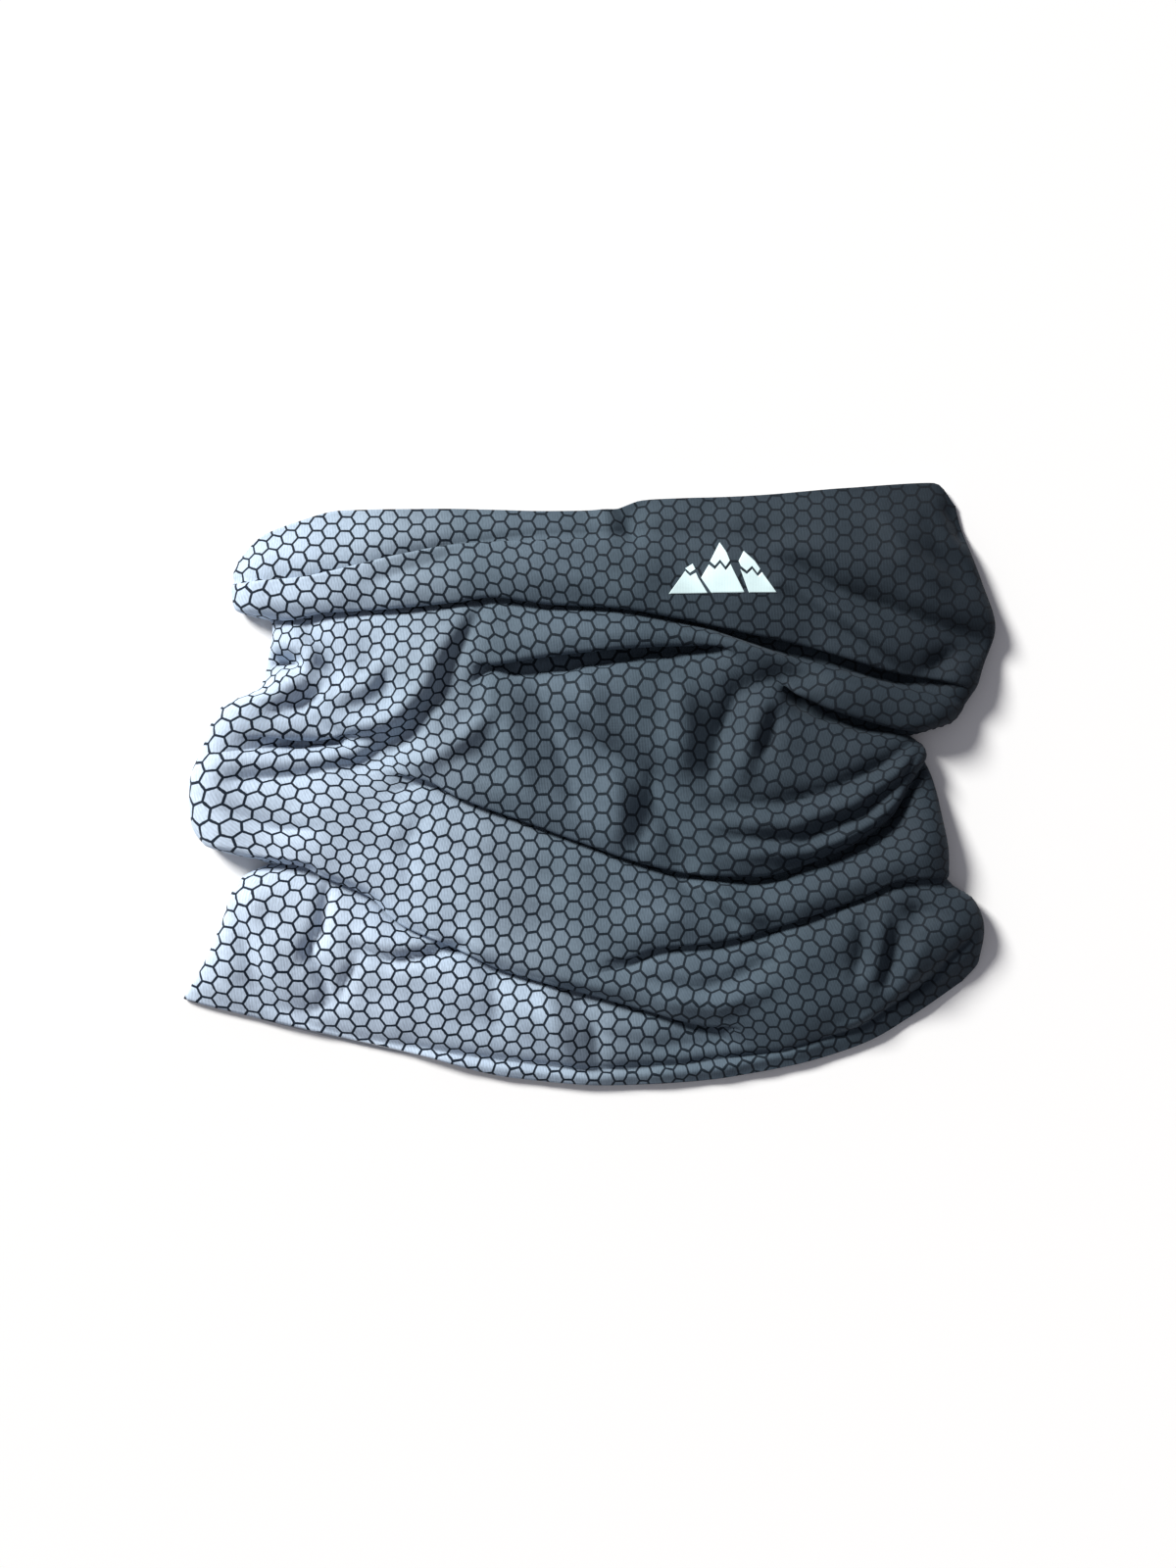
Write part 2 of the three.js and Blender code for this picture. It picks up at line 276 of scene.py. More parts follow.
def acrossShare(x, y):
    shares = np.linspace(0, 1, 201)
    return np.array([np.interp(a, placeAcross(shares, b, leftSide(b), rightSide(b)), shares)
                     for a, b in zip(x, y)])


# A line over the front as functions of the share across it: its y, and each further value of its points
def frontLine(points):
    values = np.array(points, float)
    share = acrossShare(values[:, 0], values[:, 1])
    share[0], share[-1] = 0, 1
    return [curveThrough(share, values[:, k]) for k in range(1, values.shape[1])]


# Columns once round the tube, starting at the seam on the right: share across the front or the back,
# front, side and turn of the side fold, and share across the whole laid width
def ringColumns():
    g = gaiter
    quarter = math.pi / 2
    columns = []
    for k in range(g["frontArcColumns"]):
        columns.append((1, 1, 1, quarter * k / g["frontArcColumns"]))
    for k in range(g["frontColumns"] + 1):
        columns.append((1 - k / g["frontColumns"], 1, 0, quarter))
    for k in range(g["frontArcColumns"]):
        columns.append((0, 1, -1, quarter * (1 - (k + 1) / g["frontArcColumns"])))
    for k in range(g["backArcColumns"]):
        columns.append((0, 0, -1, quarter * (k + 1) / (g["backArcColumns"] + 1)))
    for k in range(g["backColumns"] + 1):
        columns.append((k / g["backColumns"], 0, 0, quarter))
    for k in range(g["backArcColumns"]):
        columns.append((1, 0, 1, quarter * (1 - (k + 1) / (g["backArcColumns"] + 1))))
    columns.append(columns[0])
    share, front, side, turn = np.array(columns, float).T
    edge = np.where(front > 0.5, g["frontRound"], g["backRound"]) / g["laidWidth"]
    inward = edge * (1 - np.cos(turn))
    across = np.where(side == 0, edge + (1 - 2 * edge) * share, share - side * inward)
    return np.array([share, front, side, turn, across])


# One gather seen from the side: the cloth rounds its edge, runs back under it and turns out again
def gatherTurn(fold, radius, depth, droop, start):
    inner = np.minimum(gaiter["layerRound"], radius)
    runs = fold["runSteps"]
    y, n = [], []
    for a in math.pi * np.linspace(0, 1, 5):
        y.append(radius * (1 - math.sin(a)))
        n.append(-radius * (1 - math.cos(a)))
    for k in range(1, runs):
        y.append(radius + depth * k / runs)
        n.append(-2 * radius)
    for a in math.pi * np.linspace(0, 1, 4):
        y.append(radius + depth + inner * math.sin(a))
        n.append(-2 * radius - inner * (1 - math.cos(a)))
    for k in range(runs):
        y.append(blend(radius + depth, start, (k + 1) / runs))
        n.append(-2 * radius - 2 * inner)
    return np.array(y), np.array(n) - droop


# The whole tube as rows of points: y along the table, n (0 on the outermost layer, negative under it), how
# far each is hidden inside a gather, 0 to 1, how far it has sunk into the gap under a fold, and the two edges
def gatheredRows(columns):
    g = gaiter
    _, front, _, _, across = columns
    top, bottom = frontLine(topEdge)[0], frontLine(bottomEdge)[0]
    onBack = front < 0.5
    middle = np.sin(math.pi * across)
    backTop = blend(top(0.0), top(1.0), across) + g["backTopBow"] * middle
    backBottom = blend(bottom(0.0), bottom(1.0), across) - g["backBottomBow"] * middle
    yTop = np.where(onBack, backTop, top(across))
    yBottom = np.where(onBack, backBottom, bottom(across))
    folds = []
    for fold in gathers:
        lineY, drawn = frontLine(fold["points"])
        sway = g["backSway"] * np.sin(2 * math.pi * across + len(folds))
        backY = blend(lineY(0.0), lineY(1.0), easeStep(across)) + sway * middle
        backDrawn = blend(blend(drawn(0.0), drawn(1.0), across), fold["onBack"], middle)
        y = np.where(onBack, backY, lineY(across))
        w = np.where(onBack, backDrawn, np.clip(drawn(across), 0, 1))
        folds.append((fold, y, w))
    lines = [yTop] + [y for _, y, _ in folds] + [yBottom]
    ys, ns, hidden, sunk = [yTop], [0 * yTop], [0 * yTop], [0 * yTop]
    skinY, skinN = [yTop], [0 * yTop]
    above, gap, sink = (yTop, 0 * yTop), 0, 0
    ceiling = yTop
    for k, rows in enumerate(panelRows):
        if k < len(folds):
            fold, y, w = folds[k]
            shape = easeStep(w)
            radius = fold["round"] * w
            inner = np.minimum(g["layerRound"], radius)
            droop = g["crown"] * shape * fold.get("crown", 1)
            nextGap = 0
            if "gaps" in fold:
                gapWidth = curveThrough(*zip(*fold["gaps"]))
                nextGap = shape * gapWidth((across - 0.5) * g["laidWidth"]) * (front > 0.5)
            room = ceiling - y - radius - g["turnRoom"]
            if fold.get("under"):
                room = y - folds[k + 1][1] - 2.6 * radius - g["turnRoom"]
            depth = np.clip(fold["depth"] * shape, 0, np.maximum(room, 0))
            drop = 2 * radius + 2 * inner
            clear = np.minimum(lines[k] - y, y - lines[k + 2])
            spread = np.clip(0.35 * clear, 0.2, g["fadeOut"])
            slack = spread * (1 - shape)
            start = 0.4 * radius + np.minimum(0.7 * nextGap, 0.5 * depth)
            over, under = (y + radius + slack, -droop), (y + start - slack, -drop - droop)
            if fold.get("under"):
                over, under = (y - 0.4 * radius + slack, -drop), (y - radius - slack, 0 * y)
        else:
            over = (yBottom, 0 * yBottom)
        width = above[0] - over[0]
        riseReach = np.minimum(g["riseReach"], np.maximum(0.85 * width - gap, 0)) + 0.01
        droopReach = np.minimum(g["crownReach"], 0.45 * width) + 0.01
        for i in range(1, rows + 1):
            y0 = blend(above[0], over[0], blend(i / rows, float(easeStep(i / rows)), g["rowCrowding"]))
            rise = (1 - np.clip((above[0] - y0 - gap) / riseReach, 0, 1)) ** 2
            fall = (1 - np.clip((y0 - over[0]) / droopReach, 0, 1)) ** 2
            wall = (1 - np.clip((above[0] - y0 - gap) / g["gapWall"], 0, 1)) ** 2
            n0 = above[1] * rise + over[1] * fall
            ys.append(y0)
            ns.append(n0)
            hidden.append(0 * yTop)
            sunk.append(sink * wall)
            skinY.append(y0)
            skinN.append(n0)
        if k < len(folds):
            turnY, turnN = gatherTurn(fold, radius, depth, droop, start)
            turnRows = len(turnY) - 1
            # the turned cloth follows the panel that lies over it
            upY, upN = np.array(skinY)[::-1], np.array(skinN)[::-1]
            panelN = np.array([np.interp(turnY[:, i] + y[i], upY[:, i], upN[:, i])
                               for i in range(len(y))]).T + droop
            for i in range(1, turnRows + 1):
                t = i / turnRows
                if fold.get("under"):
                    foldedY, foldedN = -turnY[-1 - i], turnN[-1 - i] + droop
                    plainY = blend(-0.4 * radius + spread, -radius - spread, t)
                    plainN = -drop * (1 - easeStep(t))
                else:
                    foldedY, foldedN = turnY[i], turnN[i] + panelN[i]
                    plainY = blend(radius + spread, start - spread, t)
                    plainN = -drop * easeStep(t) - droop
                ys.append(y + blend(plainY, foldedY, shape))
                ns.append(blend(plainN, foldedN, shape))
                buried = not fold.get("under") and i < turnRows
                hidden.append(shape * easeStep((i - 2) / 3) if buried else 0 * yTop)
                sunk.append(0 * yTop)
            gap = nextGap + start - 0.4 * radius
            above, sink = under, g["gapDepth"] * nextGap
            sunk[-1] = sunk[-1] + sink
            ceiling = blend(ceiling, y, easeStep(w / 0.3))
    return np.array(ys), np.array(ns), np.array(hidden), np.array(sunk), yTop, yBottom


# How far wrinkles lift or sink the front at each point
def wrinkleHeight(x, y):
    lift = np.zeros_like(x)
    for height, width, points in wrinkles:
        line = np.array(points, float)
        nearest = np.full(x.shape, 1e9)
        along = np.zeros_like(x)
        lengths = np.hypot(*np.diff(line, axis=0).T)
        total, before = lengths.sum(), 0
        for (x0, y0), (x1, y1), length in zip(line[:-1], line[1:], lengths):
            t = np.clip(((x - x0) * (x1 - x0) + (y - y0) * (y1 - y0)) / length ** 2, 0, 1)
            d = np.hypot(x - blend(x0, x1, t), y - blend(y0, y1, t))
            closer = d < nearest
            nearest = np.where(closer, d, nearest)
            along = np.where(closer, (before + t * length) / total, along)
            before += length
        ends = 0.35 + 0.65 * np.sin(math.pi * np.clip(along, 0.001, 0.999)) ** 0.5
        sharp, scale = (2, gaiter["wrinkleHeight"]) if height > 0 else (1.3, gaiter["wrinkleDepth"])
        lift += scale * height * ends * np.exp(-(nearest / (width * (0.6 + 0.4 * ends))) ** sharp)
    return lift


def unevenness(x, y, height, size, seed):
    flat = [noise.noise(Vector((a / size, b / size, seed))) for a, b in zip(x.ravel(), y.ravel())]
    return height * np.array(flat).reshape(x.shape)


# Lays the gathered rows round the flattened tube; layers inside a gather stay under the hollows above them
def laidTube():
    g = gaiter
    columns = ringColumns()
    y, n, hidden, sunk, yTop, yBottom = gatheredRows(columns)
    share, front, side, turn, across = columns
    left, right = leftSide(y) - g["layerInset"] * n, rightSide(y) + g["layerInset"] * n
    roundness = np.where(front > 0.5, g["frontRound"], g["backRound"])
    x = placeAcross(share, y, left, right, roundness)
    curved = roundness * (1 - np.cos(turn))
    x = np.where(side > 0, right - curved, np.where(side < 0, left + curved, x))
    fromEdge = np.minimum(np.abs(yTop - y), np.abs(y - yBottom))
    loose = 1 - np.exp(-(fromEdge / g["rimReach"]) ** 1.3)
    height = blend(g["rimHeight"], g["looseHeight"], loose)
    for swell in g["swells"]:
        height = height + unevenness(x, y, *swell) * loose
    alongRipple, acrossRipple = x - g["rippleSlant"] * y, y + g["rippleSlant"] * x
    height = height + unevenness(alongRipple * g["rippleStretch"], acrossRipple, *g["ripples"]) * loose
    height = height + unevenness(x, y, *g["rimUnevenness"])
    nearby = [wrinkleHeight(x, y + shift) for shift in (0, -6, -3, 3, 6)]
    folded = blend(nearby[0], np.minimum(np.min(nearby, axis=0), 0), hidden)
    height = height + folded * blend(g["rimWrinkles"], 1, loose)
    nearSeam = easeStep(1 - (1 - across) * g["laidWidth"] / g["seamReach"])
    backHeight = g["clothThickness"] / 2 + g["seamLift"] * nearSeam - g["backPress"] * n
    frontHeight = np.maximum(height + n - sunk, backHeight + g["leastRoom"])
    middle = blend(backHeight, frontHeight, g["widestHeight"])
    z = blend(middle, np.where(front > 0.5, frontHeight, backHeight), np.sin(turn))
    return np.stack([x, y, z], axis=-1)


# Evens out the grid, though hardly where rows lie far apart, as they do inside the gathers
def evenedTube(points):
    ring = points[:, :-1]
    around = (np.roll(ring, 1, axis=1) + np.roll(ring, -1, axis=1)) / 2 - ring
    steps = np.linalg.norm(np.diff(ring, axis=0), axis=2)
    longest = np.maximum(steps[:-1], steps[1:])[..., None]
    along = np.zeros_like(ring)
    along[1:-1] = ((ring[:-2] + ring[2:]) / 2 - ring[1:-1]) / (1 + (longest / gaiter["farRows"]) ** 4)
    ring = ring + gaiter["evening"] * (around + along) / 2
    return np.concatenate([ring, ring[:, :1]], axis=1)


tube = evenedTube(laidTube())
rowCount, columnCount = tube.shape[:2]
print("gaiter: laid", columnCount, "columns by", rowCount, "rows")


def meshPiece(name, bm, *materials):
    mesh = bpy.data.meshes.new(name)
    bm.to_mesh(mesh)
    bm.free()
    piece = bpy.data.objects.new(name, mesh)
    scene.collection.objects.link(piece)
    for material in materials:
        mesh.materials.append(material)
    return piece


# A grid piece whose points and flat coordinates are given row by row, rows from the top down
def gridPiece(name, points, coordinates, *materials):
    rows, columns = points.shape[:2]
    bm = bmesh.new()
    uvLayer = bm.loops.layers.uv.new("cloth")
    bmesh.ops.create_grid(bm, x_segments=columns - 1, y_segments=rows - 1, size=0.5, calc_uvs=True)
    place = [(round((0.5 - v.co.y) * (rows - 1)), round((v.co.x + 0.5) * (columns - 1))) for v in bm.verts]
    for face in bm.faces:
        face.smooth = True
        for loop in face.loops:
            loop[uvLayer].uv = coordinates[place[loop.vert.index]] / uvUnit
    for vert in bm.verts:
        vert.co = Vector(points[place[vert.index]]) * mm
    edges = [v for v in bm.verts if place[v.index][1] in (0, columns - 1)]
    bmesh.ops.remove_doubles(bm, verts=edges, dist=1e-6)
    bmesh.ops.recalc_face_normals(bm, faces=bm.faces)
    return meshPiece(name, bm, *materials)


# Where each point was on the flat cloth: the laid cloth is flattened again with as little stretch as it
# allows, then turned to lie with the seam at the left and the top edge at zero
def flatCloth(points):
    coarse = 2  # every second row and column is enough
    around = np.linalg.norm(np.diff(points, axis=1), axis=2).mean(axis=0)
    u = np.concatenate([[0], np.cumsum(around)]) * gaiter["ringLength"] / around.sum()
    down = np.linalg.norm(np.diff(points, axis=0), axis=2)
    v = np.concatenate([np.zeros((1, points.shape[1])), np.cumsum(down, axis=0)])
    first = np.stack([np.broadcast_to(u, v.shape), v], axis=-1)
    few = points[::coarse, ::coarse]
    rows, columns = few.shape[:2]
    bm = bmesh.new()
    bmesh.ops.create_grid(bm, x_segments=columns - 1, y_segments=rows - 1, size=0.5)
    place = [(round((0.5 - p.co.y) * (rows - 1)), round((p.co.x + 0.5) * (columns - 1))) for p in bm.verts]
    for vert in bm.verts:
        vert.co = Vector(few[place[vert.index]]) * mm
    pattern = meshPiece("pattern", bm)
    bpy.context.view_layer.objects.active = pattern
    pattern.data.uv_layers.new(name="flat")
    bpy.ops.object.mode_set(mode="EDIT")
    bpy.ops.mesh.select_all(action="SELECT")
    bpy.ops.uv.unwrap(method="MINIMUM_STRETCH", iterations=8, margin=0)
    bpy.ops.object.mode_set(mode="OBJECT")
    mesh = pattern.data
    flat = np.zeros((rows, columns, 2))
    for loop, corner in zip(mesh.loops, mesh.uv_layers["flat"].data):
        flat[place[loop.vertex_index]] = corner.uv
    target = first[::coarse, ::coarse]
    centre = target.mean(axis=(0, 1))
    flat -= flat.mean(axis=(0, 1))
    laidRound, flatRound = (np.linalg.norm(np.diff(grid, axis=1), axis=2).sum() for grid in (few, flat))
    flat *= laidRound / flatRound
    left, _, right = np.linalg.svd(flat.reshape(-1, 2).T @ (target - centre).reshape(-1, 2))
    flat = flat @ (left @ right) + centre
    bpy.data.objects.remove(pattern)
    full = np.zeros_like(first)
    for k in range(2):
        tall = np.array([np.interp(v[:, coarse * i], v[::coarse, coarse * i], flat[:, i, k])
                         for i in range(columns)]).T
        full[..., k] = np.array([np.interp(u, u[::coarse], line) for line in tall])
    return full


# Wraps a socket, so that shader maths reads as Python
class Shade:
    def __init__(self, tree, socket=None):
        self.tree, self.socket = tree, socket

    def make(self, kind, settings=None, values=None, output=0):
        made = self.tree.nodes.new(kind)
        for name, value in (settings or {}).items():
            if name == "stops":
                ramp = made.color_ramp.elements
                for k, (position, colour) in enumerate(value):
                    stop = ramp[k] if k < len(ramp) else ramp.new(position)
                    stop.position, stop.color = position, (*colour, 1)
            else:
                setattr(made, name, value)
        for name, value in (values or {}).items():
            if isinstance(value, Shade):
                self.tree.links.new(value.socket, made.inputs[name])
            else:
                made.inputs[name].default_value = value
        return Shade(self.tree, made.outputs[output])

    def math(self, operation, *others):
        return self.make("ShaderNodeMath", {"operation": operation}, dict(enumerate((self, *others))))

    def reflected(self, operation, other):
        return self.make("ShaderNodeMath", {"operation": operation}, {0: other, 1: self})

    def __add__(self, other):
        return self.math("ADD", other)

    def __radd__(self, other):
        return self.math("ADD", other)

    def __sub__(self, other):
        return self.math("SUBTRACT", other)

    def __rsub__(self, other):
        return self.reflected("SUBTRACT", other)

    def __mul__(self, other):
        return self.math("MULTIPLY", other)

    def __rmul__(self, other):
        return self.math("MULTIPLY", other)

    def __truediv__(self, other):
        return self.math("DIVIDE", other)

    def __rtruediv__(self, other):
        return self.reflected("DIVIDE", other)

    # 0 below low, 1 above high, smooth between
    def ease(self, low, high):
        return self.make("ShaderNodeMapRange", {"interpolation_type": "SMOOTHSTEP"},
                         {"Value": self, "From Min": low, "From Max": high})

    def mixColours(self, first, second):
        first, second = ((*c, 1) if isinstance(c, tuple) else c for c in (first, second))
        return self.make("ShaderNodeMix", {"data_type": "RGBA"}, {0: self, 6: first, 7: second}, 2)

    # This colour times one number
    def shaded(self, amount):
        grey = self.make("ShaderNodeCombineColor", None, {0: amount, 1: amount, 2: amount})
        return self.make("ShaderNodeMix", {"data_type": "RGBA", "blend_type": "MULTIPLY"},
                         {0: 1.0, 6: self, 7: grey}, 2)


# A new material: its shader's sockets that stay the same are set, the varying ones are linked
def newMaterial(name, **sockets):
    material = bpy.data.materials.new(name)
    material.use_nodes = True
    tree = material.node_tree
    shader = tree.nodes["Principled BSDF"]
    for socket, value in sockets.items():
        shader.inputs[socket.replace("_", " ")].default_value = value
    return material, Shade(tree), shader


def feed(shader, socket, value):
    value.tree.links.new(value.socket, shader.inputs[socket])


# Relief that is depth millimetres deep
def addBump(shade, shader, strength, depth, height):
    values = {"Strength": strength, "Distance": depth * mm, "Height": height}
    feed(shader, "Normal", shade.make("ShaderNodeBump", None, values))


# Soft clouds around a middle value of 0.5
def cloudy(shade, place, scale, detail):
    return shade.make("ShaderNodeTexNoise", None, {"Vector": place, "Scale": scale, "Detail": detail})


def clothPlace(shade):
    place = shade.make("ShaderNodeUVMap", {"uv_map": "cloth"})
    return [shade.make("ShaderNodeSeparateXYZ", None, {0: place}, k) * uvUnit for k in range(2)]


# Distance in millimetres from the nearest edge of a honeycomb, whose cells have flat tops
def honeycomb(u, v, cell):
    wide = cell * math.sqrt(3)

    def fromCentre(shift):
        x = ((u + shift * wide).math("FLOORED_MODULO", wide) - wide / 2).math("ABSOLUTE")
        y = ((v + shift * cell).math("FLOORED_MODULO", cell) - cell / 2).math("ABSOLUTE")
        return y.math("MAXIMUM", x * (math.sqrt(3) / 2) + y / 2)
    return cell / 2 - fromCentre(0).math("MINIMUM", fromCentre(0.5))


printed = {
    "cell": 5.15,       # across the flats of a printed hexagon
    "lineHalf": 0.38,   # half of a printed line's width
    "lineSoft": 0.07,   # how far the lines' edges bleed
    "wobble": 0.25,     # how far the lines wander
    "fadeStart": 0.08,  # where along the fade the top of the left side fold is
    "tilt": 0.0007,     # how much further across its pale end reaches for each mm down the tube
    "drift": 0.06,      # how unevenly it was dyed
    "flecks": 0.55,     # contrast of the heathered yarn, and of the slanting stripes of painted glint
    "glintStreaks": 0.07,
    "wale": 0.46,       # width of one knitted column
    "course": 0.36,     # height of one knitted row
    "knitDepth": 0.12,  # depth of the loops' relief
    # colour of the cells, from the left side fold (0) to the right one (1)
    "fade": [(0.00, (0.52, 0.62, 0.755)), (0.11, (0.46, 0.56, 0.69)), (0.17, (0.41, 0.505, 0.625)),
             (0.23, (0.36, 0.45, 0.555)), (0.29, (0.216, 0.275, 0.34)), (0.37, (0.121, 0.165, 0.207)),
             (0.47, (0.087, 0.121, 0.155)), (0.58, (0.058, 0.084, 0.108)), (0.72, (0.036, 0.052, 0.068)),
             (1.00, (0.013, 0.020, 0.028))],
    # colour of the lines, in the same way
    "line": [(0.0, (0.008, 0.016, 0.030)), (0.45, (0.009, 0.016, 0.024)), (1.0, (0.005, 0.008, 0.012))],
    "inside": (0.62, 0.66, 0.71),
}


# Fine jersey: columns of small loops, as a height for the bump
def knitHeight(u, v):
    across = (u * (math.pi / printed["wale"])).math("SINE").math("ABSOLUTE")
    slant = (u * (2 * math.pi / printed["wale"])).math("COSINE") * 0.4
    loops = (v * (2 * math.pi / printed["course"]) + slant * 2).math("SINE") * 0.5 + 0.5
    return across * 0.65 + loops * 0.35


# The outer face: print lines over cells that fade across the tube, flecked as heathered yarn is, with
# slanting stripes of painted glint
def knitMaterial():
    material, shade, shader = newMaterial("printed_knit", Roughness=0.75, Sheen_Weight=0.06,
                                          Sheen_Roughness=0.5, Specular_IOR_Level=0.16)
    shader.inputs["Sheen Tint"].default_value = (0.75, 0.85, 1, 1)
    u, v = clothPlace(shade)
    flatPlace = shade.make("ShaderNodeCombineXYZ", None, {0: u, 1: v, 2: 0.0})
    wobble = cloudy(shade, flatPlace, 0.9, 1.0) - 0.5
    drift = cloudy(shade, flatPlace, 0.05, 1.0) - 0.5
    toLeft = (u - gaiter["ringLength"] / 2).math("ABSOLUTE") / (gaiter["ringLength"] / 2)
    share = toLeft - v * printed["tilt"] + printed["fadeStart"] + drift * printed["drift"]
    edge = honeycomb(u + wobble * printed["wobble"], v + wobble * printed["wobble"], printed["cell"])
    line = 1 - edge.ease(printed["lineHalf"] - printed["lineSoft"], printed["lineHalf"] + printed["lineSoft"])
    cellColour = shade.make("ShaderNodeValToRGB", {"stops": printed["fade"]}, {0: share})
    lineColour = shade.make("ShaderNodeValToRGB", {"stops": printed["line"]}, {0: share})
    stretched = shade.make("ShaderNodeCombineXYZ", None, {0: u * 2.6, 1: v * 0.9, 2: 0.0})
    # painted glint: faint slanting stripes that lighten and darken the cells, as light catching the knit
    # would
    glintStreaks = (u * (math.pi / printed["wale"]) + v * 1.1).math("SINE") * printed["glintStreaks"]
    heatherAndGlint = (cloudy(shade, stretched, 0.75, 3.0) - 0.5) * printed["flecks"] + glintStreaks + 1
    feed(shader, "Base Color", line.mixColours(cellColour.shaded(heatherAndGlint), lineColour))
    addBump(shade, shader, 0.5, printed["knitDepth"], knitHeight(u, v))
    return material


# The unprinted inner face
def insideMaterial():
    material, shade, shader = newMaterial("knit_inside", Roughness=0.8, Sheen_Weight=0.3)
    u, v = clothPlace(shade)
    flatPlace = shade.make("ShaderNodeCombineXYZ", None, {0: u * 2.6, 1: v, 2: 0.0})
    dark = tuple(0.82 * c for c in printed["inside"])
    feed(shader, "Base Color", cloudy(shade, flatPlace, 0.8, 3.0).mixColours(dark, printed["inside"]))
    addBump(shade, shader, 0.5, printed["knitDepth"], knitHeight(u, v))
    return material


coordinates = flatCloth(tube)

cloth = gridPiece("gaiter_cloth", tube, coordinates, knitMaterial(), insideMaterial())
wall = cloth.modifiers.new("wall", "SOLIDIFY")
wall.thickness = gaiter["clothThickness"] * mm
wall.offset = 0
wall.material_offset = 1
wall.material_offset_rim = 1

flatlock = {
    "pitch": 2.6,        # length of one stitch
    "halfWidth": 2.1,    # from the middle to each outer row of stitches
    "threadRadius": 0.15,
    "dive": 0.5,         # how deep a stitch's ends go into the cloth
    "towardsBack": 3.2,  # from the outermost line of the side fold to the middle of the seam
    "margin": 2,         # bare cloth at each end
    "nearColumns": 16,   # columns of the cloth on each side that the seam may reach
    "plyLines": 11000.0,  # fineness of the ply lines and of the fuzz
    "fuzz": 5200.0,
    "colour": (0.035, 0.05, 0.07),
}


# A point beside the seam: row is where it lies down the cloth's rows, offset its distance from the middle of
# the seam, towards the front when it is positive, and lift how far it is raised off the cloth
def besideSeam(row, offset, lift):
    reach = flatlock["nearColumns"]
    near = np.roll(tube[:, :-1], reach, axis=1)[:, :2 * reach + 1]

    def strip(rowIndex):
        line = near[rowIndex]
        length = lengthAlong(line)
        length -= length[reach]
        return lambda d: np.array([np.interp(d, length, line[:, k]) for k in range(3)])
    row = min(max(row, 0), rowCount - 1.001)
    offset -= flatlock["towardsBack"]
    k, t = int(row), row - int(row)
    above, below = strip(k), strip(k + 1)
    point, behind, ahead = (blend(above(d), below(d), t) for d in (offset, offset - 0.4, offset + 0.4))
    normal = np.cross(ahead - behind, below(offset) - above(offset))
    return Vector(point + lift * normal / max(np.linalg.norm(normal), 1e-9))


# Places down the seam a quarter of a stitch apart, as rows of the cloth
def seamRows():
    step, margin = flatlock["pitch"] / 4, flatlock["margin"]
    length = lengthAlong(tube[:, 0])
    count = int((length[-1] - 2 * margin) / step)
    return np.interp(margin + step * np.arange(count + 1), length, np.arange(rowCount))


# Threads as thin tubes, each along its own run of points
def threadPiece(name, runs, radius, material):
    curve = bpy.data.curves.new(name, "CURVE")
    curve.dimensions = "3D"
    curve.bevel_depth = radius * mm
    curve.bevel_resolution = 1
    curve.use_fill_caps = True
    for run in runs:
        spline = curve.splines.new("POLY")
        spline.points.add(len(run) - 1)
        for point, place in zip(spline.points, run):
            point.co = (*(Vector(place) * mm), 1)
    wire = bpy.data.objects.new(name + "_line", curve)
    scene.collection.objects.link(wire)
    mesh = bpy.data.meshes.new_from_object(wire.evaluated_get(bpy.context.evaluated_depsgraph_get()))
    bpy.data.objects.remove(wire)
    mesh.name = name
    mesh.materials.clear()
    mesh.materials.append(material)
    piece = bpy.data.objects.new(name, mesh)
    scene.collection.objects.link(piece)
    for polygon in mesh.polygons:
        polygon.use_smooth = True
    return piece


# Twisted thread: fine slanting ply lines and a little fuzz
def threadMaterial():
    material, shade, shader = newMaterial("seam_thread", Roughness=0.55, Sheen_Weight=0.2,
                                          Specular_IOR_Level=0.35)
    place = shade.make("ShaderNodeTexCoord", None, None, 3)
    fuzz = cloudy(shade, place, flatlock["fuzz"], 2.0)
    x, y, z = (shade.make("ShaderNodeSeparateXYZ", None, {0: place}, k) for k in range(3))
    ply = ((x + y * 1.4 + z) * flatlock["plyLines"]).math("SINE") * 0.5 + 0.5
    dark = tuple(0.55 * c for c in flatlock["colour"])
    feed(shader, "Base Color", (ply * 0.6 + fuzz * 0.4).mixColours(dark, flatlock["colour"]))
    addBump(shade, shader, 0.6, 0.05, ply + fuzz * 0.5)
    return material


# Outer face: three rows of straight stitches over a looper thread that zigzags across the join
def seamOuterThreads(material):
    s = flatlock
    rows = seamRows()
    low = gaiter["clothThickness"] / 2 + 0.2 * s["threadRadius"]
    high, deep = low + s["threadRadius"], low - s["dive"]
    runs = []
    for offset in (-s["halfWidth"], 0, s["halfWidth"]):
        # each stitch takes the first six of eight steps, and the rest is the gap to the next one
        for k in range(0, len(rows) - 4, 4):
            steps = np.linspace(rows[k], rows[k + 4], 9)
            lifts = (deep, low, high, high, high, low, deep)
            runs.append([besideSeam(row, offset, lift) for row, lift in zip(steps, lifts)])
    zigzag = [s["halfWidth"] * way for way in (-1, 0, 1, 0)]
    runs.append([besideSeam(row, zigzag[k % 4], low) for k, row in enumerate(rows)])
    return threadPiece("seam_outer_stitches", runs, s["threadRadius"], material)


# Inner face: two looper threads that cross each other between two straight ones
def seamInnerThreads(material):
    s = flatlock
    rows = seamRows()
    low = -(gaiter["clothThickness"] / 2 + 0.8 * s["threadRadius"])
    runs = []
    for way in (-1, 1):
        zigzag = [way * s["halfWidth"] * share for share in (-1, 0, 1, 0)]
        runs.append([besideSeam(row, zigzag[k % 4], low - (k + way) % 2 * s["threadRadius"])
                     for k, row in enumerate(rows)])
    for offset in (-s["halfWidth"], s["halfWidth"]):
        runs.append([besideSeam(row, offset, low - s["threadRadius"]) for row in rows])
    return threadPiece("seam_inner_loops", runs, s["threadRadius"], material)


